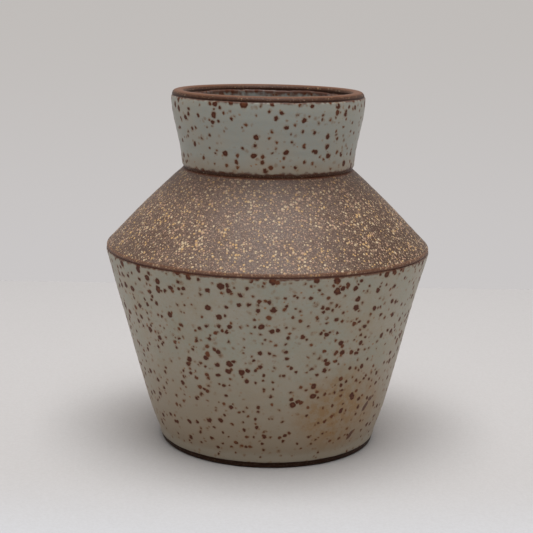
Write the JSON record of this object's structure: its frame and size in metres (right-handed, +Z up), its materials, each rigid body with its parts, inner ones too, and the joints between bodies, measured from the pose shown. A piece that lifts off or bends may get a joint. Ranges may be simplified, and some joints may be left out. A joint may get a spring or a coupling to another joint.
{
  "type": "ceramic bud vase",
  "caption": "Speckled stoneware bud vase with a flared glazed body, a bare conical shoulder and a glazed collar neck with a rounded bare lip",
  "frame": {"origin": "centre of the foot ring's flat underside, on the surface the vase stands on", "axes": "+Z up along the throwing axis, through the middle of the mouth; +X and +Y are level, and the vase is round about Z"},
  "size_m": [0.1146, 0.1146, 0.125],
  "materials": {
    "bare_clay": "unglazed iron-rich stoneware, matte, with pale sand grains",
    "celadon_glaze": "satin grey-green glaze with iron speckles that burn through it",
    "liner_glaze": "satin blue-grey glaze with iron speckles"
  },
  "bodies": {
    "root": {"lower_body": "bare_clay", "shoulder": "bare_clay", "neck": "bare_clay", "body_glaze": "celadon_glaze", "neck_glaze": "celadon_glaze", "liner_glaze": "liner_glaze"}
  },
  "joints": []
}
